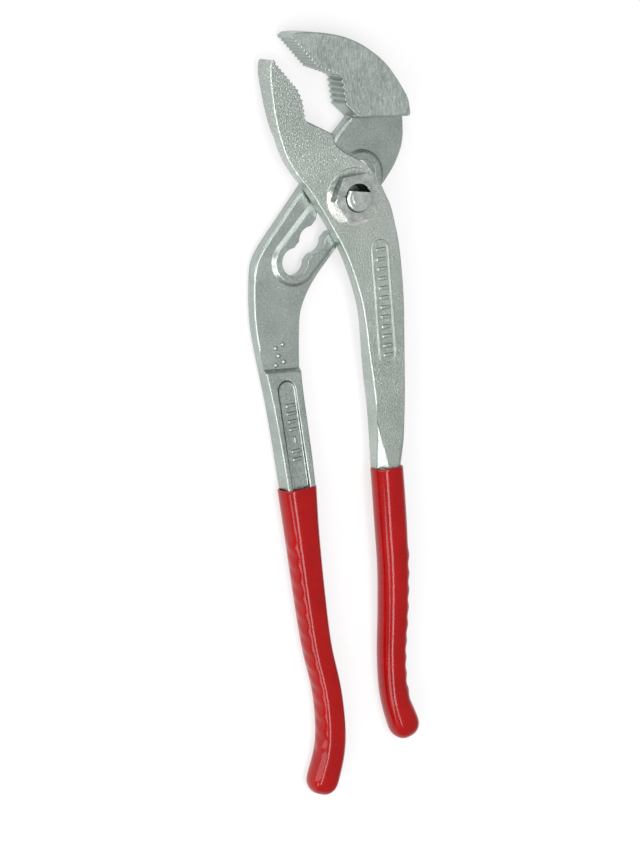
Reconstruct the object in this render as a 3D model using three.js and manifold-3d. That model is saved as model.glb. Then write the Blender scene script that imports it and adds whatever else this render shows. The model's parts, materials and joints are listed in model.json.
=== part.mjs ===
// Slip-joint water pump pliers: a slotted lever and a front lever crossing at one pivot bolt,
// which a nut holds and which seats in any of a row of lobes, with a dipped grip on each handle.
import * as THREE from "three";
import { ConvexGeometry } from "three/addons/geometries/ConvexGeometry.js";
import { mergeVertices } from "three/addons/utils/BufferGeometryUtils.js";
import Module from "manifold-3d";

const wasm = await Module();
wasm.setup();

// Driving dimensions, in millimetres. The tool lies flat with its jaws towards +Y, and is drawn
// about the pivot bolt's axis, with z = 0 where the two levers meet.
const JAW_FRONT = 5; // front faces of both jaws
const JAW_BACK = -5.6; // back face of the slotted lever
const FRONT_JAW_BACK = -4.2; // back face of the front lever's jaw
const JOINT_GAP = 0.1; // running gap between the two levers
const PAD_RISE = 1; // height of the raised track that borders the slot
const TRACK_BACK = -4.8; // floor of the recess behind the slot that the washer slides in

const SEAT_PITCH = 9.2; // from one seat of the bolt to the next
const SLOT_ANGLE = THREE.MathUtils.degToRad(48.5);
const SEAT_RADIUS = 4.6;
const NECK_HALF = 3.3; // half the slot's width between two seats
const FIRST_SEAT = -3; // seats are counted along the slot from the one in use
const LAST_SEAT = 1;
const PAD_RADIUS = 6.9; // of the raised track's flat top, beyond which its rim slopes down
const PAD_SLOPE = 1.1;
const TRACK_RADIUS = 7.4;

const BOLT_RADIUS = 4.4;
const FLAT_HALF = 3.2; // half the thickness across the two flats that pass the necks
const END_FLAT = 2.1; // from the axis to the flat on the bolt's threaded end
const END_FLAT_TILT = THREE.MathUtils.degToRad(-5);
const BORE_RADIUS = 4.7;
const HEAD_RADIUS = 6.6;
const HEAD_BOTTOM = -7.3;
const HEAD_TOP = -5.8;
const WASHER_RADIUS = 7;
const WASHER_BOTTOM = -5.7;
const WASHER_TOP = -4.9;
const BOSS_RADIUS = 9.5;
const BOSS_TOP = 5.3;
const NUT_RADIUS = 8.45; // to a corner of the hexagon
const NUT_BOTTOM = 5.4;
const NUT_TOP = 8.9;
const NUT_TURN = THREE.MathUtils.degToRad(8);
const BOLT_TOP = 10;
const CHAMFER = 0.6;

const TOOTH_DEPTH = 0.6;
const GRIP_WALL = 1.6;
const GRIP_GAP = 0.3;
const GRIP_THICKNESS = 9.8;
const GRIP_ROUNDING = 3.6;
const CURVE_STEPS = 4;
const ROUND_SIDES = 40;

const STEEL = { color: 0xa9b0aa, roughness: 0.42, metalness: 1 };
const BRIGHT_STEEL = { color: 0xb9bfbb, roughness: 0.3, metalness: 1 };
const RED_VINYL = { color: 0xb02224, roughness: 0.25, metalness: 0 };

// ---- solids -------------------------------------------------------------------------------

function solidOf(geometry) {
  const bare = geometry.clone();
  bare.deleteAttribute("normal");
  bare.deleteAttribute("uv");
  const merged = mergeVertices(bare, 1e-4);
  return new wasm.Manifold(
    new wasm.Mesh({
      numProp: 3,
      vertProperties: new Float32Array(merged.attributes.position.array),
      triVerts: new Uint32Array(merged.index.array),
    }),
  );
}

function geometryOf(solid) {
  const mesh = solid.getMesh();
  const geometry = new THREE.BufferGeometry();
  geometry.setAttribute("position", new THREE.BufferAttribute(mesh.vertProperties, mesh.numProp));
  geometry.setIndex(new THREE.BufferAttribute(mesh.triVerts, 1));
  geometry.computeVertexNormals();
  return geometry;
}

// A flat shape in the plan view, from one height to another.
function plate(shape, low, high) {
  const geometry = new THREE.ExtrudeGeometry(shape, {
    depth: high - low,
    bevelEnabled: false,
    curveSegments: CURVE_STEPS,
  });
  return solidOf(geometry.translate(0, 0, low));
}

// A side profile, drawn as (y, z), carried right across the tool along X.
function acrossTool(shape) {
  const reach = 60;
  const geometry = new THREE.ExtrudeGeometry(shape, {
    depth: 2 * reach,
    bevelEnabled: false,
    curveSegments: CURVE_STEPS,
  });
  const alongX = new THREE.Matrix4().makeBasis(
    new THREE.Vector3(0, 1, 0),
    new THREE.Vector3(0, 0, 1),
    new THREE.Vector3(1, 0, 0),
  );
  return solidOf(geometry.applyMatrix4(alongX).translate(-reach, 0, 0));
}

function disc(x, y, radius, low, high) {
  const geometry = new THREE.CylinderGeometry(radius, radius, high - low, ROUND_SIDES);
  return solidOf(geometry.rotateX(Math.PI / 2).translate(x, y, (low + high) / 2));
}

// A round turned piece about the pivot axis, from a profile of (radius, z) points.
function turned(points, sides = ROUND_SIDES) {
  const profile = points.map(([radius, z]) => new THREE.Vector2(radius, z));
  return solidOf(new THREE.LatheGeometry(profile, sides).rotateX(Math.PI / 2));
}

function block(width, length, low, high) {
  const geometry = new THREE.BoxGeometry(width, length, high - low);
  return geometry.translate(0, 0, (low + high) / 2);
}

function alongSlot(distance) {
  return [distance * Math.cos(SLOT_ANGLE), distance * Math.sin(SLOT_ANGLE)];
}

// A straight band with round ends over the whole row of seats.
function slotBand(radius, low, high) {
  const near = FIRST_SEAT * SEAT_PITCH;
  const far = LAST_SEAT * SEAT_PITCH;
  const [x, y] = alongSlot((near + far) / 2);
  const middle = block(far - near, 2 * radius, low, high).rotateZ(SLOT_ANGLE).translate(x, y, 0);
  return solidOf(middle)
    .add(disc(...alongSlot(near), radius, low, high))
    .add(disc(...alongSlot(far), radius, low, high));
}

function slotHole(low, high) {
  let hole = slotBand(NECK_HALF, low, high);
  for (let seat = FIRST_SEAT; seat <= LAST_SEAT; seat++) {
    hole = hole.add(disc(...alongSlot(seat * SEAT_PITCH), SEAT_RADIUS, low, high));
  }
  return hole;
}

// ---- outlines -----------------------------------------------------------------------------

function lines(shape, points) {
  for (const [x, y] of points) shape.lineTo(x, y);
}

function curve(shape, points) {
  shape.splineThru(points.map(([x, y]) => new THREE.Vector2(x, y)));
}

// Teeth with their crests on the line from the shape's current point to another, cut in on the
// right of the way there.
function teeth(shape, [x, y], count, depth = TOOTH_DEPTH) {
  const start = shape.currentPoint.clone();
  const step = new THREE.Vector2(x, y).sub(start).divideScalar(count);
  const inward = new THREE.Vector2(step.y, -step.x).setLength(depth);
  for (let tooth = 0; tooth < count; tooth++) {
    const valley = start.clone().addScaledVector(step, tooth + 0.35).add(inward);
    const crest = start.clone().addScaledVector(step, tooth + 1);
    shape.lineTo(valley.x, valley.y);
    shape.lineTo(crest.x, crest.y);
  }
}

// A raised or sunk panel with round ends, between two points of its centre line.
function panel([x0, y0], [x1, y1], halfWidth) {
  const heading = Math.atan2(y1 - y0, x1 - x0);
  const shape = new THREE.Shape();
  shape.absarc(x1, y1, halfWidth, heading - Math.PI / 2, heading + Math.PI / 2, false);
  shape.absarc(x0, y0, halfWidth, heading + Math.PI / 2, heading + 1.5 * Math.PI, false);
  shape.closePath();
  return shape;
}

// ---- grips --------------------------------------------------------------------------------

// Each grip's centre line runs from its mouth to the middle of its round end, as [x, y, width]
// stations, and its middle height goes from one value at the mouth to another at the end.
const SLOTTED_GRIP = {
  line: [
    [-16.9, -95, 12.8],
    [-15.2, -109, 11.2],
    [-12.4, -130, 10],
    [-9.5, -148, 9.2],
    [-5.8, -163, 9],
    [-4.3, -177, 9.4],
    [-5, -185, 9.8],
    [-7.3, -193.2, 10.3],
  ],
  heights: [-1.9, -2.4],
};
const FRONT_GRIP = {
  line: [
    [14.7, -90, 10.6],
    [16.3, -107, 10.6],
    [17.8, -124, 10.2],
    [18.2, -140, 9.8],
    [18.1, -154, 9.2],
    [19.5, -167.5, 9.2],
    [23, -177.2, 10.4],
  ],
  heights: [0.8, -2.4],
};

// The points along one side of a grip, the right-hand one as seen from its mouth being -1.
function sidePoints(line, side, inset) {
  return line.map(([x, y, width], i) => {
    const [x0, y0] = line[Math.max(i - 1, 0)];
    const [x1, y1] = line[Math.min(i + 1, line.length - 1)];
    const across = new THREE.Vector2(y0 - y1, x1 - x0).setLength(side * (width / 2 - inset));
    return [x + across.x, y + across.y];
  });
}

function gripOutline(line, inset) {
  const right = sidePoints(line, -1, inset);
  const left = sidePoints(line, 1, inset).reverse();
  const [x0, y0] = line[line.length - 2];
  const [x, y, width] = line[line.length - 1];
  const heading = Math.atan2(y - y0, x - x0);
  const shape = new THREE.Shape();
  shape.moveTo(...right[0]);
  curve(shape, right.slice(1));
  shape.absarc(x, y, width / 2 - inset, heading - Math.PI / 2, heading + Math.PI / 2, false);
  curve(shape, left.slice(1));
  shape.closePath();
  return shape;
}

// A bar with rounded edges along a grip's centre line, `inset` inside the grip's surface.
function gripForm(grip, inset) {
  const rounding = GRIP_ROUNDING - inset / 2;
  const thickness = GRIP_THICKNESS - 2 * inset;
  const geometry = new THREE.ExtrudeGeometry(gripOutline(grip.line, inset + rounding), {
    depth: thickness - 2 * rounding,
    bevelThickness: rounding,
    bevelSize: rounding,
    bevelSegments: 3,
    curveSegments: CURVE_STEPS,
  });
  geometry.translate(0, 0, rounding - thickness / 2);
  const [, mouthY] = grip.line[0];
  const [, endY] = grip.line[grip.line.length - 1];
  const position = geometry.attributes.position;
  for (let i = 0; i < position.count; i++) {
    const share = THREE.MathUtils.smoothstep(-position.getY(i), -mouthY, -endY);
    const height = THREE.MathUtils.lerp(...grip.heights, share);
    position.setZ(i, position.getZ(i) + height);
  }
  return solidOf(geometry);
}

function aboveMouth(grip, gap) {
  const reach = 20;
  const [x, y] = grip.line[0];
  return solidOf(block(2 * reach, reach, -reach, reach).translate(x, y + reach / 2 - gap, 0));
}

// The steel that runs on inside a grip, and the grip as a closed sleeve around it.
function core(grip) {
  return gripForm(grip, GRIP_WALL).subtract(aboveMouth(grip, 0));
}

function sleeve(grip) {
  const pocket = gripForm(grip, GRIP_WALL - GRIP_GAP);
  return gripForm(grip, 0).subtract(pocket).subtract(aboveMouth(grip, GRIP_GAP));
}

// ---- the slotted lever --------------------------------------------------------------------

const SLOTTED_LEDGE_Y = 25.4; // below it the jaw steps down to the neck
const HANDLE_LEDGE_Y = -56; // below it the handle is thicker than the joint
const SLOTTED_MOUTH_Y = -95; // where the grip starts

function slottedOutline() {
  const shape = new THREE.Shape();
  shape.moveTo(2.2, 25.4);
  lines(shape, [[-2.8, 29.8]]);
  teeth(shape, [-4.5, 39.1], 5, 0.8);
  lines(shape, [[-5.7, 39.5]]);
  teeth(shape, [-12.9, 41.9], 5);
  teeth(shape, [-21.6, 51.1], 9);
  lines(shape, [
    [-22.1, 52],
    [-20.6, 53.1],
  ]);
  curve(shape, [
    [-16, 53.3],
    [-9.3, 52.7],
    [-3, 51.4],
    [2.8, 49.1],
    [8, 45.9],
    [12, 42.6],
    [15.2, 38.8],
    [18, 34.8],
    [20.2, 30.9],
    [21.2, SLOTTED_LEDGE_Y],
  ]);
  lines(shape, [[21.4, 20]]);
  curve(shape, [
    [20.7, 15.2],
    [18.2, 9.4],
    [14.6, 4.2],
  ]);
  lines(shape, [[-10, -25.1]]);
  curve(shape, [
    [-13.4, -30.4],
    [-15.7, -36],
    [-16.4, -42],
    [-16.3, -56],
    [-14.6, -70.7],
    [-12.8, -84],
    [-11.6, SLOTTED_MOUTH_Y],
  ]);
  lines(shape, [[-21.7, SLOTTED_MOUTH_Y]]);
  curve(shape, [
    [-24.3, -79.6],
    [-26.5, -67.7],
    [-28.8, -57.4],
    [-30.9, -48],
    [-32.3, -39],
    [-32.6, -29],
    [-31.9, -20.6],
    [-29, -15],
  ]);
  lines(shape, [[-4.6, 16.6]]);
  curve(shape, [
    [-3.6, 18.4],
    [-2.6, 20],
  ]);
  shape.closePath();
  return shape;
}

function slottedProfile() {
  const face = -JOINT_GAP - PAD_RISE;
  const shape = new THREE.Shape();
  shape.moveTo(60, JAW_BACK);
  lines(shape, [
    [60, JAW_FRONT],
    [SLOTTED_LEDGE_Y, JAW_FRONT],
    [SLOTTED_LEDGE_Y, face],
    [HANDLE_LEDGE_Y + 1, face],
    [HANDLE_LEDGE_Y, 0.5],
    [SLOTTED_MOUTH_Y, 1.8],
    [SLOTTED_MOUTH_Y, -5.5],
    [HANDLE_LEDGE_Y, JAW_BACK],
  ]);
  shape.closePath();
  return shape;
}

// The raised track round the slot, whose sloping rim an extrusion's bevel gives.
function makePad() {
  const first = alongSlot(FIRST_SEAT * SEAT_PITCH);
  const last = alongSlot(LAST_SEAT * SEAT_PITCH);
  const geometry = new THREE.ExtrudeGeometry(panel(first, last, PAD_RADIUS), {
    depth: PAD_RISE,
    bevelThickness: PAD_RISE,
    bevelSize: PAD_SLOPE,
    bevelSegments: 1,
    curveSegments: ROUND_SIDES / 2,
  });
  return solidOf(geometry.translate(0, 0, -JOINT_GAP - 2 * PAD_RISE));
}

function makeSlottedLever() {
  const body = plate(slottedOutline(), -8, 8).intersect(acrossTool(slottedProfile()));
  const track = slotBand(TRACK_RADIUS, -8, TRACK_BACK);
  const sunkPanel = plate(panel([-21.8, -62], [-16, -100], 3), 0.55, 6);
  return body
    .add(makePad())
    .add(core(SLOTTED_GRIP))
    .subtract(sunkPanel)
    .subtract(track)
    .subtract(slotHole(-8, 8));
}

// ---- the front lever ----------------------------------------------------------------------

const BACK_LEDGE_Y = 20; // below it the front lever keeps only its front half

function frontOutline() {
  const shape = new THREE.Shape();
  shape.moveTo(-6.9, 20.4);
  curve(shape, [
    [-6.2, 17.4],
    [-3.6, 15],
    [0.2, 13.1],
    [3.4, 11.2],
    [6, 9.2],
    [8.6, 6.1],
    [10.6, 3],
    [12.2, 0],
    [14, -3.7],
    [15.6, -9.6],
    [17.1, -16.6],
    [18.3, -26.5],
    [19, -36.4],
    [19.3, -49.5],
    [19.6, -64],
    [19.4, -77],
    [18.9, -90],
  ]);
  lines(shape, [[10.5, -90]]);
  curve(shape, [
    [9.8, -80],
    [9, -70.6],
    [7.8, -61.3],
    [6.1, -50.7],
    [4.7, -41],
    [2.6, -31.6],
    [-2.2, -18.9],
    [-8.4, -8.2],
    [-15.1, 2],
    [-19.6, 7.2],
    [-23.3, 12.6],
    [-25.8, 18.6],
    [-27.8, 26],
    [-28.9, 32.7],
    [-29.7, 40],
    [-29.6, 43.4],
  ]);
  lines(shape, [
    [-29, 44.6],
    [-28.3, 44.6],
    [-27.7, 43.8],
  ]);
  teeth(shape, [-19.6, 35], 8);
  teeth(shape, [-18, 31.4], 2);
  teeth(shape, [-16.8, 25], 4);
  shape.closePath();
  return shape;
}

function frontProfile() {
  const shape = new THREE.Shape();
  shape.moveTo(60, FRONT_JAW_BACK);
  lines(shape, [
    [60, JAW_FRONT],
    [-20, JAW_FRONT],
    [-90, 4.4],
    [-90, -2.8],
    [-60, -2.6],
    [-38, 0],
    [BACK_LEDGE_Y, 0],
    [BACK_LEDGE_Y + 1.4, -1],
    [BACK_LEDGE_Y + 20, FRONT_JAW_BACK],
  ]);
  shape.closePath();
  return shape;
}

// A border that stands proud round a panel on the handle.
function makeCartouche() {
  const from = [10, -17.4];
  const to = [13.1, -52];
  const outer = plate(panel(from, to, 3.3), 4, JAW_FRONT + 0.3);
  const inner = plate(panel(from, to, 2.5), 3, 8);
  return outer.subtract(inner);
}

// What is cut off one long edge of the handle, widening from a point of that edge down to the
// grip's mouth: `across` is how far it then reaches over the face, and `down` over the side.
function facetCut([x0, y0, z0], [x1, y1, z1], across, down) {
  const onFace = new THREE.Vector3(x1 + across, y1, z1);
  const onSide = new THREE.Vector3(x1, y1, z1 - down);
  const corner = new THREE.Vector3(x1 - across, y1, z1 + down);
  const start = new THREE.Vector3(x0, y0, z0);
  return solidOf(
    new ConvexGeometry([
      start,
      corner,
      onFace.clone().lerp(onSide, -0.2),
      onSide.clone().lerp(onFace, -0.2),
    ]),
  );
}

function makeFrontLever() {
  const leftFacet = facetCut([9.3, -73.5, 4.6], [10.5, -90, 4.4], 3.4, 2.6);
  const rightFacet = facetCut([19.5, -78, 4.6], [18.9, -90, 4.4], -1.6, 1.6);
  return plate(frontOutline(), -8, 8)
    .intersect(acrossTool(frontProfile()))
    .subtract(leftFacet)
    .subtract(rightFacet)
    .add(disc(0, 0, BOSS_RADIUS, 1, BOSS_TOP))
    .add(makeCartouche())
    .add(core(FRONT_GRIP))
    .subtract(disc(0, 0, BORE_RADIUS, -8, 8));
}

// ---- the pivot ----------------------------------------------------------------------------

function makeBolt() {
  const blank = turned([
    [0, HEAD_BOTTOM],
    [HEAD_RADIUS - 1, HEAD_BOTTOM],
    [HEAD_RADIUS, HEAD_BOTTOM + 0.8],
    [HEAD_RADIUS, HEAD_TOP],
    [BOLT_RADIUS, HEAD_TOP],
    [BOLT_RADIUS, BOLT_TOP - CHAMFER],
    [BOLT_RADIUS - CHAMFER, BOLT_TOP],
    [0, BOLT_TOP],
  ]);
  const side = block(20, 4, HEAD_TOP, 0).translate(0, FLAT_HALF + 2, 0);
  const otherSide = side.clone().rotateZ(Math.PI);
  const end = block(20, 4, 2, BOLT_TOP + 1).translate(0, END_FLAT + 2, 0);
  return blank
    .subtract(solidOf(side.rotateZ(SLOT_ANGLE)))
    .subtract(solidOf(otherSide.rotateZ(SLOT_ANGLE)))
    .subtract(solidOf(end.rotateZ(END_FLAT_TILT)));
}

function makeWasher() {
  return disc(0, 0, WASHER_RADIUS, WASHER_BOTTOM, WASHER_TOP).subtract(
    disc(0, 0, BORE_RADIUS, WASHER_BOTTOM - 1, WASHER_TOP + 1),
  );
}

function makeNut() {
  const hexagon = new THREE.CylinderGeometry(NUT_RADIUS, NUT_RADIUS, NUT_TOP - NUT_BOTTOM, 6);
  hexagon.rotateX(Math.PI / 2).rotateZ(NUT_TURN + Math.PI / 2);
  hexagon.translate(0, 0, (NUT_TOP + NUT_BOTTOM) / 2);
  return solidOf(hexagon).subtract(disc(0, 0, BORE_RADIUS, NUT_BOTTOM - 1, NUT_TOP + 1));
}

// ---- assembly -----------------------------------------------------------------------------

function node(name, solid, finish) {
  const mesh = new THREE.Mesh(geometryOf(solid), new THREE.MeshStandardMaterial(finish));
  mesh.name = name;
  return mesh;
}

// The frame's origin is under the middle of the tool, on the surface that it lies on.
function placeOnSurface(tool) {
  const box = new THREE.Box3().setFromObject(tool);
  const middle = box.getCenter(new THREE.Vector3());
  tool.position.set(-middle.x, -middle.y, -box.min.z);
  const part = new THREE.Group();
  part.add(tool);
  return part;
}

const slottedHalf = new THREE.Group();
slottedHalf.add(
  node("slotted_lever", makeSlottedLever(), STEEL),
  node("slotted_lever_grip", sleeve(SLOTTED_GRIP), RED_VINYL),
);

const frontHalf = new THREE.Group();
frontHalf.add(
  node("front_lever", makeFrontLever(), STEEL),
  node("front_lever_grip", sleeve(FRONT_GRIP), RED_VINYL),
);

const pivot = new THREE.Group();
pivot.add(
  node("pivot_bolt", makeBolt(), BRIGHT_STEEL),
  node("pivot_nut", makeNut(), BRIGHT_STEEL),
  node("pivot_washer", makeWasher(), BRIGHT_STEEL),
);

const pliers = new THREE.Group();
pliers.add(slottedHalf, frontHalf, pivot);

export default placeOnSurface(pliers);
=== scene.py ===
import json
import math

import bmesh
import bpy
from mathutils import Matrix, Vector

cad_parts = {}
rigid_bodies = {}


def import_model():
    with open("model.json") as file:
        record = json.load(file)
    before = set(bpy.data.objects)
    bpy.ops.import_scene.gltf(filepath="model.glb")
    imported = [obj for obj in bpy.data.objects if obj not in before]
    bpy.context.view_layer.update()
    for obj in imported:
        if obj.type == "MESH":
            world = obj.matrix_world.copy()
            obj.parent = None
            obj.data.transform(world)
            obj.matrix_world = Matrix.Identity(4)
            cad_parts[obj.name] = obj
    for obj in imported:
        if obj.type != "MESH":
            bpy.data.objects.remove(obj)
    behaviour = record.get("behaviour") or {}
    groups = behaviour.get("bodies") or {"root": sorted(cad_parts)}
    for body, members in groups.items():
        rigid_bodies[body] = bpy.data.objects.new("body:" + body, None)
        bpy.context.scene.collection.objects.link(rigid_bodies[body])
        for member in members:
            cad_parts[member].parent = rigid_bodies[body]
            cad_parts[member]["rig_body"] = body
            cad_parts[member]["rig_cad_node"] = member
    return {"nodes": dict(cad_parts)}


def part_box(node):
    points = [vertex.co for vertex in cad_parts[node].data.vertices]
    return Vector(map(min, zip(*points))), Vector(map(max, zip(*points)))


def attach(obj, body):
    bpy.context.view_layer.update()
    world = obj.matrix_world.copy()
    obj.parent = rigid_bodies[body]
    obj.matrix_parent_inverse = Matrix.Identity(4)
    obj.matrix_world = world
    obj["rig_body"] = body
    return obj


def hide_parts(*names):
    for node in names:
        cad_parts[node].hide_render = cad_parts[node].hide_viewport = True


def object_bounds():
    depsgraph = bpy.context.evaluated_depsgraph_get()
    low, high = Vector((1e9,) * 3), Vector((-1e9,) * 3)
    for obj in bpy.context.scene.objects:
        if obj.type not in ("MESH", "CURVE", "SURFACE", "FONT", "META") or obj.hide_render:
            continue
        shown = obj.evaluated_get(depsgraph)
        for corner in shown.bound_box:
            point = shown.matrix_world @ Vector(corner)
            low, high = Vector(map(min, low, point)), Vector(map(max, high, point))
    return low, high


# Looks for a pair of slip-joint water pump pliers: two plated forged levers that cross at one
# bolt, its nut and washer, and a dipped vinyl grip on each handle. Drawing sizes are in
# millimetres from the bolt's axis, with height 0 where the two levers meet. at() turns them into
# metres in the frame.
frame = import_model()
cad_low, cad_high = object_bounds()

MM = 0.001
WELD = 0.002  # points of a lever closer together than this are one
NUT_SEAT = 5.4  # height of the nut's underside
NUT_TOP = 8.9
NUT_ACROSS_CORNERS = 16.9
NUT_TURN = math.radians(8)
BORE_RADIUS = 4.7
BOLT_RADIUS = 4.4
BOLT_TOP = 10.0
END_FLAT = 2.1  # from the axis to the flat on the bolt's end
END_FLAT_TILT = math.radians(-5)
FLAT_HALF = 3.2  # from the axis to the two flats in the slot
STAKE_ANGLES = (math.radians(172), math.radians(38))
STAKE_LENGTH = 1.3
HEAD_RADIUS = 6.6
HEAD_BOTTOM = -7.3
HEAD_TOP = -5.8
WASHER_RADIUS = 7.0
WASHER_BOTTOM = -5.7
WASHER_TOP = -4.9
SLOT_ANGLE = math.radians(48.5)

washer_low, washer_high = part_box("pivot_washer")
nut_low, nut_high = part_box("pivot_nut")
PIVOT = Vector((
    (washer_low.x + washer_high.x) / 2,
    (washer_low.y + washer_high.y) / 2,
    nut_low.z - NUT_SEAT * MM,
))


def at(x, y, z=0.0):
    """A point of the drawing as a place in the frame."""
    return PIVOT + Vector((x, y, z)) * MM


# ---- modelling ------------------------------------------------------------------------------


def deselect():
    if bpy.context.mode != "OBJECT":
        bpy.ops.object.mode_set(mode="OBJECT")
    bpy.ops.object.select_all(action="DESELECT")


def pick(piece):
    """Makes a piece the only selected and active one."""
    deselect()
    piece.select_set(True)
    bpy.context.view_layer.objects.active = piece


def edit(piece, mode="FACE", everything=False):
    pick(piece)
    bpy.ops.object.mode_set(mode="EDIT")
    bpy.ops.mesh.select_mode(type=mode)
    bpy.ops.mesh.select_all(action="SELECT" if everything else "DESELECT")


def done():
    bpy.ops.object.mode_set(mode="OBJECT")


def settle(piece, name=None):
    """Puts a piece's place into its mesh, so that its object sits unturned at the origin."""
    if name:
        piece.name = name
        piece.data.name = name
    pick(piece)
    bpy.ops.object.transform_apply(location=True, rotation=True, scale=True)
    return piece


def apply(piece, kind, **settings):
    """Adds a modifier, sets it and applies it."""
    pick(piece)
    modifier = piece.modifiers.new(kind.title(), kind)
    for setting, value in settings.items():
        setattr(modifier, setting, value)
    bpy.ops.object.modifier_apply(modifier=modifier.name)


def boolean(piece, tool, operation):
    apply(piece, "BOOLEAN", object=tool, operation=operation, solver="EXACT")
    bpy.data.objects.remove(tool)


def cylinder(x, y, radius, low, high, sides=64):
    deselect()
    bpy.ops.mesh.primitive_cylinder_add(
        vertices=sides,
        radius=radius * MM,
        depth=(high - low) * MM,
        location=at(x, y, (low + high) / 2),
    )
    return settle(bpy.context.object)


def block(x, y, width, length, low, high, turn=0.0):
    """A block centred at (x, y), turned about its own middle."""
    deselect()
    bpy.ops.mesh.primitive_cube_add(
        size=1,
        location=at(x, y, (low + high) / 2),
        rotation=(0, 0, turn),
        scale=Vector((width, length, high - low)) * MM,
    )
    return settle(bpy.context.object)


def select_faces(piece, test):
    """In edit mode, selects the faces whose middle and normal pass the test."""
    mesh = bmesh.from_edit_mesh(piece.data)
    for face in mesh.faces:
        face.select_set(bool(test(face.calc_center_median(), face.normal)))
    bmesh.update_edit_mesh(piece.data)


def smooth(piece, angle=32.0):
    """Smooth shading between faces that meet gently, with the flat faces kept flat."""
    pick(piece)
    bpy.ops.object.shade_smooth_by_angle(angle=math.radians(angle))
    apply(piece, "WEIGHTED_NORMAL", weight=90, keep_sharp=True)


def break_edges(piece, width, angle):
    """A small even bevel on every edge sharper than an angle."""
    apply(
        piece,
        "BEVEL",
        width=width * MM,
        segments=2,
        limit_method="ANGLE",
        angle_limit=math.radians(angle),
    )


def finish_piece(piece, body, material, replaced=()):
    piece.data.materials.clear()
    piece.data.materials.append(material)
    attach(piece, body)
    if replaced:
        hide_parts(*replaced)


# ---- forged levers --------------------------------------------------------------------------


def lever_blank(name, node, cuts):
    """A copy of a lever, with its loose triangles merged into whole faces.

    Each cut is a line in the plan view, as a point and a heading: it splits the faces that run
    round a hole, so that no face has to close on itself through a sliver.
    """
    deselect()
    blank = frame["nodes"][node].copy()
    blank.data = frame["nodes"][node].data.copy()
    bpy.context.scene.collection.objects.link(blank)
    blank.parent = None
    del blank["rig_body"]
    del blank["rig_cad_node"]
    blank.name = name
    blank.data.name = name
    edit(blank, "VERT", everything=True)
    bpy.ops.mesh.customdata_custom_splitnormals_clear()
    bpy.ops.mesh.remove_doubles(threshold=WELD * MM)
    for x, y, heading in cuts:
        bpy.ops.mesh.select_all(action="SELECT")
        bpy.ops.mesh.bisect(
            plane_co=at(x, y), plane_no=(-math.sin(heading), math.cos(heading), 0)
        )
        bpy.ops.mesh.mark_seam()
    bpy.ops.mesh.select_all(action="SELECT")
    bpy.ops.mesh.dissolve_limited(angle_limit=FLAT, delimit={"SEAM"})
    bpy.ops.mesh.mark_seam(clear=True)
    done()
    return blank


FLAT = math.radians(0.4)  # faces that meet at less than this become one
SHARP_EDGE = math.radians(24)  # the least angle between faces that gets rounded
TOOTH_EDGE = math.radians(38)  # the least angle at a tooth's crest or root
TOOTH_FLANK = 1.75  # the longest flank of a tooth in the plan view
TEETH_START = 19  # no tooth lies closer to the bolt than this, along the tool

# Widths of the rounded edges.
CREST = 0.06
TOOTH_END = 0.16
SHARP_OUTLINE = 0.07  # on the right, where the raised pad runs out to the lever's side
MARK_BORDER = 0.12
OUTLINE = (0.58, 1.1)  # on the left, beside the handle and beside the arm
OUTLINE_TURN = (-24.8, -18.4)  # where the first grows into the second, along the tool
SLOT_RIM = 0.25
SLOT_CUSP = 0.35
BACK = 0.3
JAW = 0.5
JAW_LEDGE = 0.7
JAW_CORNER = 1.3
BORE_RIM = 0.2
PLAIN = 0.45
FRONT_PLAIN = 0.5

# How far the slot and the raised pad round it reach: to each side of the slot's centre line, and
# along it from the lower end to the upper one.
SLOT_REACH = (5.2, -33.5, 15.5)
PAD_REACH = (8.5, -37, 19)


def plan_length(face):
    """How long an upright face is in the plan view."""
    places = [vert.co.xy for vert in face.verts]
    return max((a - b).length for a in places for b in places)


def is_upright(face):
    return abs(face.normal.z) < 0.3


def is_upright_edge(edge):
    return abs((edge.verts[0].co - edge.verts[1].co).normalized().z) > 0.9


def is_tooth_flank(face):
    if not is_upright(face) or plan_length(face) > TOOTH_FLANK * MM:
        return False
    middle = face.calc_center_median()
    if middle.y < at(0, TEETH_START).y or middle.x > PIVOT.x:
        return False
    edges = [edge for edge in face.edges if edge.is_manifold and is_upright_edge(edge)]
    return any(edge.calc_face_angle() > TOOTH_EDGE for edge in edges)


def tooth_width(edge):
    """The rounding of an edge on a tooth, or None for any other edge."""
    flanks = [is_tooth_flank(face) for face in edge.link_faces]
    if all(flanks):
        return CREST
    return TOOTH_END if any(flanks) else None


def round_edges(piece, width_of, widest):
    """Rounds each sharp edge by the width in millimetres that width_of(edge, place) gives it."""
    edit(piece, "EDGE")
    mesh = bmesh.from_edit_mesh(piece.data)
    weight = mesh.edges.layers.float.get("bevel_weight_edge")
    if weight is None:
        weight = mesh.edges.layers.float.new("bevel_weight_edge")
    for edge in mesh.edges:
        if not edge.is_manifold or edge.calc_face_angle() < SHARP_EDGE:
            continue
        middle = (edge.verts[0].co + edge.verts[1].co) / 2
        place = (middle - PIVOT) / MM
        edge[weight] = width_of(edge, place) / widest
    bmesh.update_edit_mesh(piece.data)
    done()
    apply(
        piece,
        "BEVEL",
        width=widest * MM,
        segments=3,
        limit_method="WEIGHT",
        use_clamp_overlap=False,
        miter_outer="MITER_SHARP",
        profile=0.5,
    )


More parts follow.
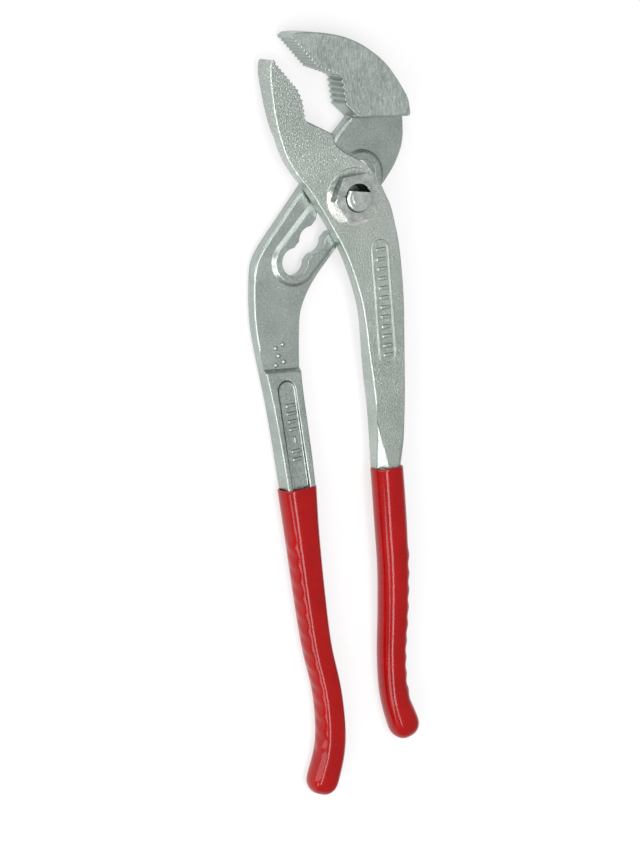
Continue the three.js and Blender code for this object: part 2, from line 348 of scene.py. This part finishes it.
def slotted_edge(edge, place):
    tooth = tooth_width(edge)
    if tooth is not None:
        return tooth
    if place.y < -92:  # inside the grip
        return 0.0
    along = place.x * math.cos(SLOT_ANGLE) + place.y * math.sin(SLOT_ANGLE)
    across = -place.x * math.sin(SLOT_ANGLE) + place.y * math.cos(SLOT_ANGLE)
    if abs(place.z) < 3 and -56 < place.y < 24:
        if place.x > 14.3 or across < -8.03:
            return SHARP_OUTLINE
        if across > 8.4 or place.x < -28:
            start, end = OUTLINE_TURN
            share = min(max((place.y - start) / (end - start), 0), 1)
            return OUTLINE[0] + (OUTLINE[1] - OUTLINE[0]) * share
    side, lower, upper = SLOT_REACH
    if abs(across) < side and lower < along < upper:
        return SLOT_CUSP if is_upright_edge(edge) else SLOT_RIM
    side, lower, upper = PAD_REACH
    if abs(across) < side and lower < along < upper:
        return 0.0 if -2 < place.z < -0.9 else SLOT_RIM  # the pad's foot stays sharp
    if place.z < -4:
        return BACK
    if place.y > 24:
        if is_upright_edge(edge) and place.x > 15:
            return JAW_CORNER
        return JAW_LEDGE if place.y < 26 else JAW
    return PLAIN


def front_edge(edge, place):
    tooth = tooth_width(edge)
    if tooth is not None:
        return tooth
    if place.y < -89:  # inside the grip
        return 0.0
    if place.xy.length < 5:
        return BORE_RIM
    if place.xy.length < 11.5 and place.z > 4.8:  # the boss round the bore
        return MARK_BORDER
    if -56 < place.y < -14 and 6 < place.x < 17 and place.z > 4.4:  # the border of the bars
        return MARK_BORDER
    if place.y < -68 and place.x < 14.5 and place.z > 3:  # the facet that twists into the grip
        return MARK_BORDER
    return FRONT_PLAIN


# ---- raised marks ---------------------------------------------------------------------------

# The long border on the front lever's handle, the sunk panel on the slotted lever's, and what
# stands up inside them: (x, y, turn in degrees).
CARTOUCHE = (Vector((10.0, -17.4)), Vector((13.1, -52.0)))
CARTOUCHE_BARS = 12
PANEL_BARS = [
    (-20.5, -67.0, 8),
    (-20.1, -69.6, 8),
    (-19.7, -72.2, 8),
    (-19.3, -74.8, 8),
    (-18.4, -82.0, 8),
    (-18.0, -84.6, 8),
]
PANEL_DASH = (-18.9, -78.4, 98)
PANEL_FLOOR = 0.6
FORGING_DOTS = [(-22.4, -47.1), (-24.9, -48.3), (-23.8, -50.8), (-21.9, -52.8), (-24.7, -53.8)]


def copies(piece, name, places):
    """Copies of a piece that was modelled about the pivot, each moved and turned, as one piece."""
    made = []
    for x, y, z, turn in places:
        copy = piece.copy()
        copy.data = piece.data.copy()
        bpy.context.scene.collection.objects.link(copy)
        copy.matrix_world = (
            Matrix.Translation(at(x, y, z))
            @ Matrix.Rotation(math.radians(turn), 4, "Z")
            @ Matrix.Translation(-PIVOT)
        )
        made.append(copy)
    bpy.data.objects.remove(piece)
    deselect()
    for copy in made:
        copy.select_set(True)
    bpy.context.view_layer.objects.active = made[0]
    bpy.ops.object.transform_apply(location=True, rotation=True, scale=True)
    bpy.ops.object.join()
    made[0].name = name
    made[0].data.name = name
    return made[0]


def raised_bar(width, length, height):
    """A bar with rounded edges at the pivot, with its foot sunk in the face that it stands on."""
    bar = block(0, 0, width, length, -0.5, height)
    apply(bar, "BEVEL", width=0.35 * MM, segments=3, limit_method="NONE")
    return bar


def cartouche_bars(material):
    first, last = CARTOUCHE
    slant = math.degrees(math.atan2(last.y - first.y, last.x - first.x)) + 90
    places = []
    for i in range(CARTOUCHE_BARS):
        share = i / (CARTOUCHE_BARS - 1)
        spot = first.lerp(last, share)
        places.append((spot.x, spot.y, 5 - 0.3 * share, slant))
    bars = copies(raised_bar(3.5, 1.3, 0.5), "cartouche_bars", places)
    smooth(bars)
    finish_piece(bars, "front_half", material)


def panel_bars(material):
    places = [(x, y, PANEL_FLOOR, turn) for x, y, turn in PANEL_BARS]
    bars = copies(raised_bar(3.6, 1.2, 0.65), "panel_bars", places)
    smooth(bars)
    finish_piece(bars, "slotted_half", material)
    x, y, turn = PANEL_DASH
    dash = copies(raised_bar(2.4, 0.9, 0.65), "panel_dash", [(x, y, PANEL_FLOOR, turn)])
    smooth(dash)
    finish_piece(dash, "slotted_half", material)


def forging_dots(material):
    deselect()
    bpy.ops.mesh.primitive_uv_sphere_add(
        segments=20, ring_count=12, radius=0.8 * MM, location=at(0, 0), scale=(1, 1, 0.7)
    )
    dot = settle(bpy.context.object)
    dots = copies(dot, "forging_dots", [(x, y, -1.15, 0) for x, y in FORGING_DOTS])
    smooth(dots, 60)
    finish_piece(dots, "slotted_half", material)


# ---- vinyl grips ----------------------------------------------------------------------------

# A grip's centre line runs from its mouth to the middle of its round end, as (x, y, width).
SLOTTED_GRIP = [
    (-16.9, -94.3, 12.8),
    (-15.2, -109.0, 11.2),
    (-12.4, -130.0, 10.0),
    (-9.5, -148.0, 9.2),
    (-5.8, -163.0, 9.0),
    (-4.3, -177.0, 9.4),
    (-5.0, -185.0, 9.8),
    (-7.3, -193.2, 10.3),
]
FRONT_GRIP = [
    (14.7, -89.5, 10.6),
    (16.3, -107.0, 10.6),
    (17.8, -124.0, 10.2),
    (18.2, -140.0, 9.8),
    (18.1, -154.0, 9.2),
    (19.5, -167.5, 9.2),
    (23.0, -177.2, 10.4),
]
GRIP_THICKNESS = 9.8
GRIP_ROUNDING = 3.9
GRIP_WALL = 0.9
MOUTH_STEP = 3  # from the mouth to the first ring that may turn
PLAIN_STEP = 5  # between rings where the grip has no ribs
END_STEP = 3
RIB_PITCH = 5.7
RIB_HEIGHT = 1.1  # of the cage, which the subdivision flattens to a third of it
RIB_INSET = 1.4  # how far in from the grip's side a rib reaches on the cage
# The cage's rows that a rib lifts, as (lowest, highest, share of the rib's height).
RIB_ROWS = ((0, 2, 1.0), (2, 4, 0.45))
RIB_RISE = 0.45  # how much of a rib's way outward it also goes up
# The rings that close a grip's round end, as (reach past its centre, share of its width).
END_RINGS = ((0.4, 0.93), (0.74, 0.70), (0.95, 0.36))


def between(line, y, column):
    """A grip's x or width at a length along the tool, on a smooth curve through its stations."""
    i = 0
    while i < len(line) - 2 and y < line[i + 1][1]:
        i += 1
    before, start, end, after = (
        line[max(i - 1, 0)],
        line[i],
        line[i + 1],
        line[min(i + 2, len(line) - 1)],
    )
    span = end[1] - start[1]
    leaving = (end[column] - before[column]) / (end[1] - before[1]) * span
    arriving = (after[column] - start[column]) / (after[1] - start[1]) * span
    t = (y - start[1]) / span
    return (
        start[column] * (2 * t**3 - 3 * t**2 + 1)
        + leaving * (t**3 - 2 * t**2 + t)
        + end[column] * (3 * t**2 - 2 * t**3)
        + arriving * (t**3 - t**2)
    )


def grip_turn(line, y):
    """How far the grip has turned at a length along it, about the upright axis."""
    return -math.atan(between(line, y + 0.5, 0) - between(line, y - 0.5, 0))


def grip_rings(line, first_rib, ribs):
    """Each ring's length along the tool, and how far a rib lifts its outer side."""
    mouth = line[0][1]
    end = line[-1][1]
    rings = [(mouth, 0), (mouth - 0.6, 0), (mouth - MOUTH_STEP, 0)]
    y = mouth - MOUTH_STEP - PLAIN_STEP
    while y > first_rib + RIB_PITCH:
        rings.append((y, 0))
        y -= PLAIN_STEP
    for i in range(2 * ribs + 1):
        lift = RIB_HEIGHT if i % 2 else -RIB_HEIGHT
        if i in (0, 2 * ribs):
            lift /= 3
        rings.append((first_rib + (1 - i) * RIB_PITCH / 2, lift))
    y = rings[-1][0] - END_STEP
    while y > end + END_STEP / 2:
        rings.append((y, 0))
        y -= END_STEP
    rings.append((end, 0))
    return rings


def make_grip(name, line, heights, first_rib, ribs, outer_side, body, material, node):
    """A sleeve drawn ring by ring along its centre line, from its open mouth to its round end.

    heights are those of the centre line at the mouth and at the end. outer_side is 1 where the
    ribs are on the right and -1 where they are on the left.
    """
    rings = grip_rings(line, first_rib, ribs)
    mouth, end = rings[0][0], rings[-1][0]

    def section(y):
        share = min(max((mouth - y) / (mouth - end), 0), 1)
        height = heights[0] + (heights[1] - heights[0]) * share * share * (3 - 2 * share)
        return at(between(line, y, 0), y, height), between(line, y, 2), grip_turn(line, y)

    centre, width, turn = section(mouth)
    next_centre, _, _ = section(rings[1][0])
    deselect()
    bpy.ops.mesh.primitive_cube_add(
        size=1,
        location=(centre + next_centre) / 2,
        rotation=(0, 0, turn),
        scale=Vector((width * MM, (next_centre - centre).length, GRIP_THICKNESS * MM)),
    )
    grip = settle(bpy.context.object, name)
    edit(grip, "EDGE")
    mesh = bmesh.from_edit_mesh(grip.data)
    lengthwise = Vector((-math.sin(turn), math.cos(turn), 0))
    for edge in mesh.edges:
        direction = (edge.verts[0].co - edge.verts[1].co).normalized()
        edge.select_set(abs(direction.dot(lengthwise)) > 0.9)
    bmesh.update_edit_mesh(grip.data)
    bpy.ops.mesh.bevel(offset=GRIP_ROUNDING * MM, segments=3, affect="EDGES")
    done()

    edit(grip)
    select_faces(grip, lambda middle, normal: normal.dot(lengthwise) < -0.9)
    centre, width, turn = section(rings[1][0])
    thickness = GRIP_THICKNESS
    radius = line[-1][2] / 2
    steps = [(*section(y), GRIP_THICKNESS) for y, _ in rings[2:]]
    last_centre, last_width, last_turn, _ = steps[-1]
    heading = Vector((math.sin(last_turn), -math.cos(last_turn), 0))
    for reach, share in END_RINGS:
        place = last_centre + heading * (reach * radius * MM)
        steps.append((place, last_width * share, last_turn, GRIP_THICKNESS * share))
    for next_centre, next_width, next_turn, next_thickness in steps:
        bpy.ops.mesh.extrude_region_move(TRANSFORM_OT_translate={"value": next_centre - centre})
        cosine, sine = math.cos(turn), math.sin(turn)
        bpy.ops.transform.resize(
            value=(next_width / width, 1, next_thickness / thickness),
            orient_type="GLOBAL",
            orient_matrix=((cosine, sine, 0), (-sine, cosine, 0), (0, 0, 1)),
            orient_matrix_type="GLOBAL",
            center_override=next_centre,
        )
        bpy.ops.transform.rotate(
            value=turn - next_turn, orient_axis="Z", center_override=next_centre
        )
        centre, width, turn, thickness = next_centre, next_width, next_turn, next_thickness
    done()

    for y, lift in rings:
        if not lift:
            continue
        ring_centre, ring_width, ring_turn = section(y)
        outward = Vector((math.cos(ring_turn), math.sin(ring_turn), 0)) * outer_side
        down = Vector((math.sin(ring_turn), -math.cos(ring_turn), 0))
        lifted = (outward + Vector((0, 0, RIB_RISE))).normalized()
        for low, high, share in RIB_ROWS:
            edit(grip, "VERT")
            mesh = bmesh.from_edit_mesh(grip.data)
            for vert in mesh.verts:
                offset = (vert.co - ring_centre) / MM
                inset = ring_width / 2 - offset.dot(outward)
                near = abs(offset.dot(down)) < 0.5 and inset < RIB_INSET
                vert.select_set(near and low < offset.z < high)
            bmesh.update_edit_mesh(grip.data)
            bpy.ops.transform.translate(value=lifted * (lift * share * MM))
            done()

    edit(grip)
    mouth_zone = at(0, mouth - 2).y
    select_faces(
        grip,
        lambda middle, normal: normal.dot(lengthwise) > 0.99 and middle.y > mouth_zone,
    )
    bpy.ops.mesh.delete(type="FACE")
    done()
    apply(grip, "SOLIDIFY", thickness=GRIP_WALL * MM, offset=-1, use_rim=True)
    apply(grip, "SUBSURF", levels=2, render_levels=2)
    pick(grip)
    bpy.ops.object.shade_smooth()
    finish_piece(grip, body, material, [node])


# ---- pivot ----------------------------------------------------------------------------------


def make_nut(material):
    """A hexagon with its top corners turned off and two stakes struck beside its bore."""
    deselect()
    bpy.ops.mesh.primitive_cylinder_add(
        vertices=6,
        radius=NUT_ACROSS_CORNERS / 2 * MM,
        depth=(NUT_TOP - NUT_SEAT) * MM,
        location=at(0, 0, (NUT_TOP + NUT_SEAT) / 2),
        rotation=(0, 0, NUT_TURN + math.pi / 2),
    )
    nut = settle(bpy.context.object, "hex_nut")
    deselect()
    bpy.ops.mesh.primitive_cone_add(
        vertices=96,
        radius1=13.9 * MM,
        radius2=8.1 * MM,
        depth=4 * MM,
        location=at(0, 0, NUT_TOP - 2),
    )
    boolean(nut, settle(bpy.context.object), "INTERSECT")
    boolean(nut, cylinder(0, 0, BORE_RADIUS, NUT_SEAT - 1, NUT_TOP + 1), "DIFFERENCE")
    for angle in STAKE_ANGLES:
        reach = BORE_RADIUS + STAKE_LENGTH / 2 - 0.2
        stake = block(
            reach * math.cos(angle),
            reach * math.sin(angle),
            STAKE_LENGTH,
            0.45,
            NUT_TOP - 0.6,
            NUT_TOP + 1,
            angle,
        )
        boolean(nut, stake, "DIFFERENCE")
    break_edges(nut, 0.14, 28)
    smooth(nut)
    finish_piece(nut, "front_half", material, ["pivot_nut"])


def make_bolt(material):
    """A headed bolt with two flats for the slot, one flat on its end and a crescent recess."""
    bolt = cylinder(0, 0, BOLT_RADIUS, HEAD_BOTTOM + 0.3, BOLT_TOP, 72)
    bolt.name = "pivot_bolt_turned"
    head = cylinder(0, 0, HEAD_RADIUS, HEAD_BOTTOM, HEAD_TOP, 72)
    boolean(bolt, head, "UNION")
    for side in (0, math.pi):
        turn = SLOT_ANGLE + side
        reach = FLAT_HALF + 2
        flat = block(
            -reach * math.sin(turn), reach * math.cos(turn), 14, 4, HEAD_TOP, 0, turn
        )
        boolean(bolt, flat, "DIFFERENCE")
    reach = END_FLAT + 2
    end = block(
        -reach * math.sin(END_FLAT_TILT),
        reach * math.cos(END_FLAT_TILT),
        14,
        4,
        2,
        BOLT_TOP + 1,
        END_FLAT_TILT,
    )
    boolean(bolt, end, "DIFFERENCE")
    recess = cylinder(0.1, -0.1, 3.1, BOLT_TOP - 0.3, BOLT_TOP + 1)
    boolean(recess, cylinder(0.75, 0.5, 3.25, BOLT_TOP - 1, BOLT_TOP + 2), "DIFFERENCE")
    boolean(bolt, recess, "DIFFERENCE")
    edit(bolt, "EDGE")
    mesh = bmesh.from_edit_mesh(bolt.data)
    for edge in mesh.edges:
        middle = ((edge.verts[0].co + edge.verts[1].co) / 2 - PIVOT) / MM
        edge.select_set(middle.z > BOLT_TOP - 0.01 and middle.xy.length > BOLT_RADIUS - 0.05)
    bmesh.update_edit_mesh(bolt.data)
    bpy.ops.mesh.bevel(offset=0.65 * MM, segments=3, affect="EDGES")
    done()
    break_edges(bolt, 0.12, 40)
    smooth(bolt)
    finish_piece(bolt, "front_half", material, ["pivot_bolt"])


def make_washer(material):
    washer = cylinder(0, 0, WASHER_RADIUS, WASHER_BOTTOM, WASHER_TOP, 72)
    washer.name = "slot_washer"
    boolean(washer, cylinder(0, 0, BORE_RADIUS, WASHER_BOTTOM - 1, WASHER_TOP + 1), "DIFFERENCE")
    break_edges(washer, 0.12, 40)
    smooth(washer)
    finish_piece(washer, "bolt_seat", material, ["pivot_washer"])


# ---- finishes -------------------------------------------------------------------------------


class Signal:
    """A number on its way through a finish: arithmetic on it adds Math nodes."""

    def __init__(self, finish, socket):
        self.finish = finish
        self.socket = socket

    def math(self, operation, first, second=0.0):
        settings = {"operation": operation}
        return self.finish.node("ShaderNodeMath", settings, {0: first, 1: second})

    def __add__(self, other):
        return self.math("ADD", self, other)

    __radd__ = __add__

    def __sub__(self, other):
        return self.math("SUBTRACT", self, other)

    def __rsub__(self, other):
        return self.math("SUBTRACT", other, self)

    def __mul__(self, other):
        return self.math("MULTIPLY", self, other)

    __rmul__ = __mul__


class Finish:
    """A material under way: a Principled surface and the nodes that feed it."""

    def __init__(self, name, **constants):
        self.material = bpy.data.materials.new(name)
        self.material.use_nodes = True
        self.nodes = self.material.node_tree.nodes
        self.links = self.material.node_tree.links
        self.surface = self.nodes["Principled BSDF"]
        self.feed(self.surface, {key.replace("_", " "): value for key, value in constants.items()})
        coordinates = self.node("ShaderNodeTexCoord", {}, {}, "Object")
        self.place = self.mapped(coordinates, scale=1 / MM, start=-PIVOT / MM)

    def feed(self, node, inputs):
        for key, value in inputs.items():
            if isinstance(value, Signal):
                self.links.new(value.socket, node.inputs[key])
            else:
                node.inputs[key].default_value = value

    def node(self, kind, settings, inputs, output=0):
        made = self.nodes.new(kind)
        for setting, value in settings.items():
            if setting == "stops":
                ramp = made.color_ramp.elements
                while len(ramp) < len(value):
                    ramp.new(0.5)
                for element, (position, color) in zip(ramp, value):
                    element.position = position
                    element.color = color
            else:
                setattr(made, setting, value)
        self.feed(made, inputs)
        return Signal(self, made.outputs[output])

    def axes(self):
        """The place as three signals, in millimetres from the bolt's axis."""
        return [
            self.node("ShaderNodeSeparateXYZ", {}, {"Vector": self.place}, axis) for axis in "XYZ"
        ]

    def mapped(self, vector, scale=1.0, stretch=(1, 1, 1), turn=0.0, start=(0, 0, 0)):
        """A vector scaled, turned about the upright axis and moved."""
        inputs = {
            "Vector": vector,
            "Location": tuple(start),
            "Rotation": (0, 0, turn),
            "Scale": tuple(scale * share for share in stretch),
        }
        return self.node("ShaderNodeMapping", {}, inputs)

    def noise(self, scale, detail=3.0, vector=None, roughness=0.5):
        inputs = {
            "Vector": vector or self.place,
            "Scale": scale,
            "Detail": detail,
            "Roughness": roughness,
        }
        return self.node("ShaderNodeTexNoise", {}, inputs, "Fac")

    def stretch(self, value, low, high, to_low=0.0, to_high=1.0):
        inputs = {
            "Value": value,
            "From Min": low,
            "From Max": high,
            "To Min": to_low,
            "To Max": to_high,
        }
        return self.node("ShaderNodeMapRange", {"clamp": True}, inputs)

    def blend(self, share, first, second):
        settings = {"data_type": "RGBA"}
        return self.node("ShaderNodeMix", settings, {0: share, 6: first, 7: second}, 2)

    def bump(self, height, strength, distance, under=None):
        inputs = {"Height": height, "Strength": strength, "Distance": distance * MM}
        if under is not None:
            inputs["Normal"] = under
        return self.node("ShaderNodeBump", {}, inputs, "Normal")

    def end(self, **fed):
        self.feed(self.surface, {key.replace("_", " "): value for key, value in fed.items()})
        return self.material


def blasted_steel():
    """Plated forging with a shot-blasted skin, painted glints and painted jaw shade, and a turned
    boss round the bore with a painted highlight on its lower-left crescent.
    """
    finish = Finish("blasted plated steel", Metallic=1.0)
    x, y, z = finish.axes()
    # The turned boss round the bore, cut down to its lower-left crescent, which gets a real turned
    # finish and a painted highlight.
    boss_and_highlight = finish.stretch(x * x + y * y, 88.0, 91.0, 1.0, 0.0) * finish.stretch(z, 5.1, 5.2)
    boss_and_highlight = boss_and_highlight * finish.stretch(x * 0.5 + y * 0.87, -3.2, -1.2, 1.0, 0.0)
    blotches = finish.noise(0.09, 3)
    grain = finish.noise(2.4, 2, roughness=0.6)
    dimples = finish.node(
        "ShaderNodeTexVoronoi",
        {"feature": "F1"},
        {"Vector": finish.place, "Scale": 1.9},
        "Distance",
    )
    rings = finish.node(
        "ShaderNodeTexWave",
        {"wave_type": "RINGS", "rings_direction": "Z"},
        {"Vector": finish.place, "Scale": 1.6, "Distortion": 0.6, "Detail": 2.0},
        "Fac",
    )
    # Painted glints: bright random specks put into the colour.
    painted_sparkle = finish.stretch(finish.noise(2.0, 1), 0.56, 0.70)
    painted_sparkle = painted_sparkle * finish.stretch(y, -25.0, 12.0, 0.4, 1.0)  # less of it on the handle
    tone = finish.stretch(blotches * 0.5 + grain * 0.5, 0.35, 0.65)
    skin_color = finish.blend(tone, (0.345, 0.39, 0.36, 1), (0.47, 0.515, 0.48, 1))
    skin_color = finish.blend(painted_sparkle, skin_color, (0.80, 0.85, 0.80, 1))
    # Painted shade: from 14 mm to 24 mm up, the lever is drawn darker towards the jaw.
    painted_jaw_shade = finish.stretch(y, 14.0, 24.0)
    skin_color = finish.blend(painted_jaw_shade * 0.16, skin_color, (0.10, 0.12, 0.11, 1))
    # Painted highlight: the boss's lower-left crescent is drawn in a pale colour.
    color = finish.blend(boss_and_highlight, skin_color, (0.70, 0.69, 0.66, 1))
    rough = finish.stretch(grain, 0.3, 0.7, 0.28, 0.46) - boss_and_highlight * 0.08
    relief = (dimples * 0.7 + grain * 0.6) * (1.0 - boss_and_highlight) + rings * boss_and_highlight * 0.25
    return finish.end(Base_Color=color, Roughness=rough, Normal=finish.bump(relief, 0.5, 0.14))


def brushed_steel():
    """Plated forging, satin all over, with its jaw's face brushed."""
    finish = Finish("brushed plated steel", Metallic=1.0)
    _, y, z = finish.axes()
    jaw_face = finish.stretch(z, 4.6, 4.9) * finish.stretch(y, 24.0, 25.0)
    blotches = finish.noise(0.11, 3)
    grain = finish.noise(2.6, 2, roughness=0.6)
    along = finish.mapped(finish.place, stretch=(4.0, 0.45, 0.45), turn=math.radians(-35))
    strokes = finish.noise(1.0, 3, along)
    pattern = grain * (1.0 - jaw_face) + strokes * jaw_face
    glints = finish.stretch(finish.noise(1.7, 2), 0.57, 0.72)
    tone = finish.stretch(blotches * 0.45 + pattern * 0.55, 0.35, 0.65)
    color = finish.blend(tone, (0.335, 0.385, 0.355, 1), (0.51, 0.565, 0.525, 1))
    color = finish.blend(glints * 0.6, color, (0.74, 0.78, 0.75, 1))
    # Painted shade: everything but the jaw's brushed face is drawn darker.
    color = finish.blend((1.0 - jaw_face) * 0.18, color, (0.10, 0.12, 0.11, 1))
    rough = finish.stretch(pattern, 0.3, 0.7, 0.27, 0.44)
    skin = finish.bump(grain, 0.25, 0.08)
    skin = finish.bump(strokes * jaw_face, 0.3, 0.06, skin)
    return finish.end(Base_Color=color, Roughness=rough, Normal=skin)


def bright_steel():
    """Turned and plated fastener steel, with painted shade on the nut's upper sides."""
    finish = Finish("bright fastener steel", Metallic=1.0)
    blotches = finish.noise(0.35, 3)
    grain = finish.noise(6.0, 2)
    tone = finish.stretch(blotches, 0.35, 0.65)
    color = finish.blend(tone, (0.54, 0.59, 0.56, 1), (0.70, 0.745, 0.71, 1))
    _, y, z = finish.axes()
    # Painted shade: the steel below the nut's top chamfer, on its upper half past y -1 mm, is drawn
    # dark.
    side = finish.stretch(z, 8.3, 8.75, 1.0, 0.0) * finish.stretch(y, -1.4, -1.0)
    color = finish.blend(side, color, (0.20, 0.235, 0.22, 1))
    rough = finish.stretch(grain * 0.5 + blotches * 0.5, 0.3, 0.7, 0.2, 0.34)
    return finish.end(Base_Color=color, Roughness=rough, Normal=finish.bump(grain, 0.12, 0.05))


def dipped_vinyl():
    """Glossy red vinyl from a dipping bath."""
    finish = Finish("dipped red vinyl", Coat_Roughness=0.07, Specular_IOR_Level=0.05, Coat_IOR=1.45)
    blotches = finish.noise(0.12, 3)
    speckle = finish.noise(1.4, 2)
    tone = finish.stretch(blotches * 0.7 + speckle * 0.3, 0.35, 0.65)
    color = finish.blend(tone, (0.27, 0.002, 0.002, 1), (0.33, 0.003, 0.003, 1))
    rough = finish.stretch(speckle, 0.3, 0.7, 0.22, 0.32)
    skin = finish.bump(finish.noise(0.5, 2), 0.10, 0.15)
    skin = finish.bump(speckle, 0.06, 0.05, skin)
    return finish.end(Base_Color=color, Roughness=rough, Coat_Weight=0.6, Normal=skin)


# ---- studio ---------------------------------------------------------------------------------

CAMERA_AIM = Vector((-9.408, -73.038, 0.0))
CAMERA_AZIMUTH = math.radians(27)
CAMERA_ELEVATION = math.radians(8.6)
CAMERA_DISTANCE = 1.2
CAMERA_LENS = 157.8
FLOOR_SIZE = 12
FLOOR_GLOW = 0.62
ROOM_LIGHT = 0.45


def make_camera():
    back = Vector((
        -math.sin(CAMERA_AZIMUTH) * math.cos(CAMERA_ELEVATION),
        math.sin(CAMERA_ELEVATION),
        math.cos(CAMERA_AZIMUTH) * math.cos(CAMERA_ELEVATION),
    ))
    right = Vector((math.cos(CAMERA_AZIMUTH), 0, math.sin(CAMERA_AZIMUTH)))
    up = back.cross(right)
    camera = bpy.data.objects.new("camera", bpy.data.cameras.new("camera"))
    bpy.context.scene.collection.objects.link(camera)
    camera.data.lens = CAMERA_LENS
    camera.data.sensor_width = 36
    place = at(*CAMERA_AIM) + back * CAMERA_DISTANCE
    camera.matrix_world = Matrix((
        (right.x, up.x, back.x, place.x),
        (right.y, up.y, back.y, place.y),
        (right.z, up.z, back.z, place.z),
        (0, 0, 0, 1),
    ))
    bpy.context.scene.camera = camera


def softbox(name, direction, distance, size, power):
    """An area light at a distance from the tool, facing it."""
    light = bpy.data.objects.new(name, bpy.data.lights.new(name, "AREA"))
    bpy.context.scene.collection.objects.link(light)
    light.data.shape = "RECTANGLE"
    light.data.size, light.data.size_y = size
    light.data.energy = power
    outward = Vector(direction).normalized()
    light.location = outward * distance
    light.rotation_mode = "QUATERNION"
    light.rotation_quaternion = outward.to_track_quat("Z", "Y")
    light.visible_camera = False


def make_studio():
    deselect()
    bpy.ops.mesh.primitive_plane_add(size=FLOOR_SIZE, location=(0, 0, cad_low.z))
    floor = settle(bpy.context.object, "studio_floor")
    paper = Finish("back-lit pale paper", Roughness=0.9, Emission_Strength=FLOOR_GLOW)
    white = (1, 1, 1, 1)
    floor.data.materials.append(paper.end(Base_Color=(0.32, 0.32, 0.32, 1), Emission_Color=white))
    world = bpy.data.worlds.new("studio")
    bpy.context.scene.world = world
    world.use_nodes = True
    world.node_tree.nodes["Background"].inputs["Color"].default_value = (1, 1, 1, 1)
    world.node_tree.nodes["Background"].inputs["Strength"].default_value = ROOM_LIGHT
    softbox("left_softbox", (-0.9, 0, 0.44), 1.2, (0.45, 2.4), 11)
    softbox("top_strip", (-0.05, -0.15, 0.99), 1.4, (0.3, 1.3), 10.5)
    softbox("upper_left_softbox", (-0.5, 0.7, 0.5), 1.2, (0.5, 0.9), 3.0)
    softbox("lower_left_softbox", (-0.67, -0.52, 0.57), 1.2, (0.4, 0.5), 3.0)
    bpy.context.scene.view_settings.view_transform = "Standard"


# ---- the tool -------------------------------------------------------------------------------

make_camera()
make_studio()

blasted = blasted_steel()
brushed = brushed_steel()
bright = bright_steel()
vinyl = dipped_vinyl()

slotted = lever_blank("slotted_lever_forging", "slotted_lever", [(0, 0, SLOT_ANGLE)])
round_edges(slotted, slotted_edge, 1.0)
smooth(slotted)
finish_piece(slotted, "slotted_half", brushed, ["slotted_lever"])

border = CARTOUCHE[1] - CARTOUCHE[0]
front = lever_blank(
    "front_lever_forging",
    "front_lever",
    [(0, 0, 0), (*CARTOUCHE[0], math.atan2(border.y, border.x))],
)
round_edges(front, front_edge, 1.0)
smooth(front)
finish_piece(front, "front_half", blasted, ["front_lever"])

make_nut(bright)
make_bolt(bright)
make_washer(bright)

cartouche_bars(blasted)
panel_bars(brushed)
forging_dots(brushed)

make_grip(
    "left_dipped_grip",
    SLOTTED_GRIP,
    (-1.9, -2.4),
    -113.1,
    13,
    -1,
    "slotted_half",
    vinyl,
    "slotted_lever_grip",
)
make_grip(
    "right_dipped_grip",
    FRONT_GRIP,
    (0.8, -2.4),
    -120.0,
    9,
    1,
    "front_half",
    vinyl,
    "front_lever_grip",
)
